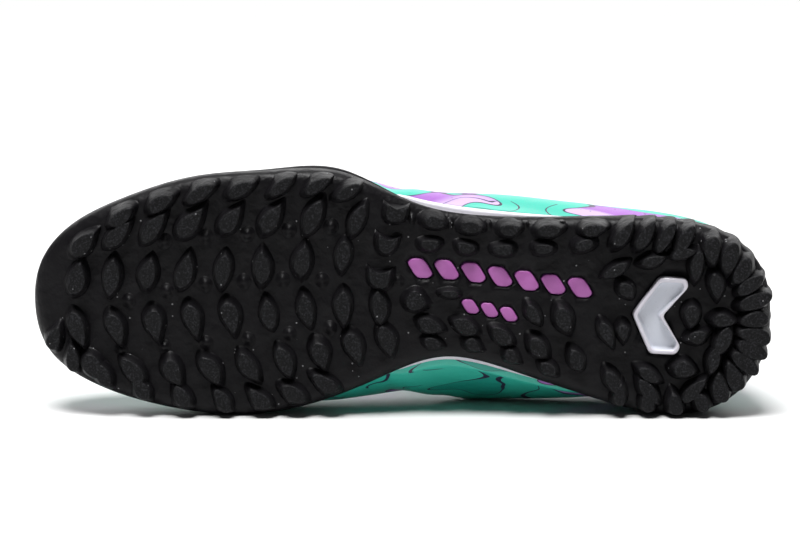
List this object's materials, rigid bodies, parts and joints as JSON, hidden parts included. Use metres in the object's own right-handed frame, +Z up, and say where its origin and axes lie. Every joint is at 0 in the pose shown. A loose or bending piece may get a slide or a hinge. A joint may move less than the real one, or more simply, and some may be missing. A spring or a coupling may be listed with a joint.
{
  "type": "turf shoe",
  "caption": "Low-cut football turf shoe for a left foot, lying on its side, with a studded rubber outsole, foam midsole, thin patterned upper, tongue, insole and flat lace.",
  "frame": {"origin": "centre of the bounding box's bottom face, on the floor that the shoe lies on", "axes": "-X to the toe, -Y the way the outsole's studs face, +Z up, with the little-toe side on top and the big-toe side on the floor"},
  "size_m": [0.2846, 0.0884, 0.0952],
  "materials": {
    "outsole_rubber": "near-black moulded rubber, satin, with fine light specks",
    "window_film": "silver-grey moulded insert with a glossy raised rim",
    "inlay_rubber": "fuchsia rubber, satin",
    "midsole_foam": "white foam, matte",
    "upper_skin": "thin coated knit, turquoise with lilac patches and thin dark outlines",
    "tongue_knit": "knit, turquoise, matte",
    "insole_cloth": "dark cloth over thin foam",
    "lace_weave": "pale turquoise flat weave"
  },
  "bodies": {
    "root": {"outsole": "outsole_rubber", "heel_window": "window_film", "waist_inlay": "inlay_rubber", "midsole": "midsole_foam", "upper": "upper_skin", "tongue": "tongue_knit", "insole": "insole_cloth", "lace": "lace_weave"}
  },
  "joints": []
}
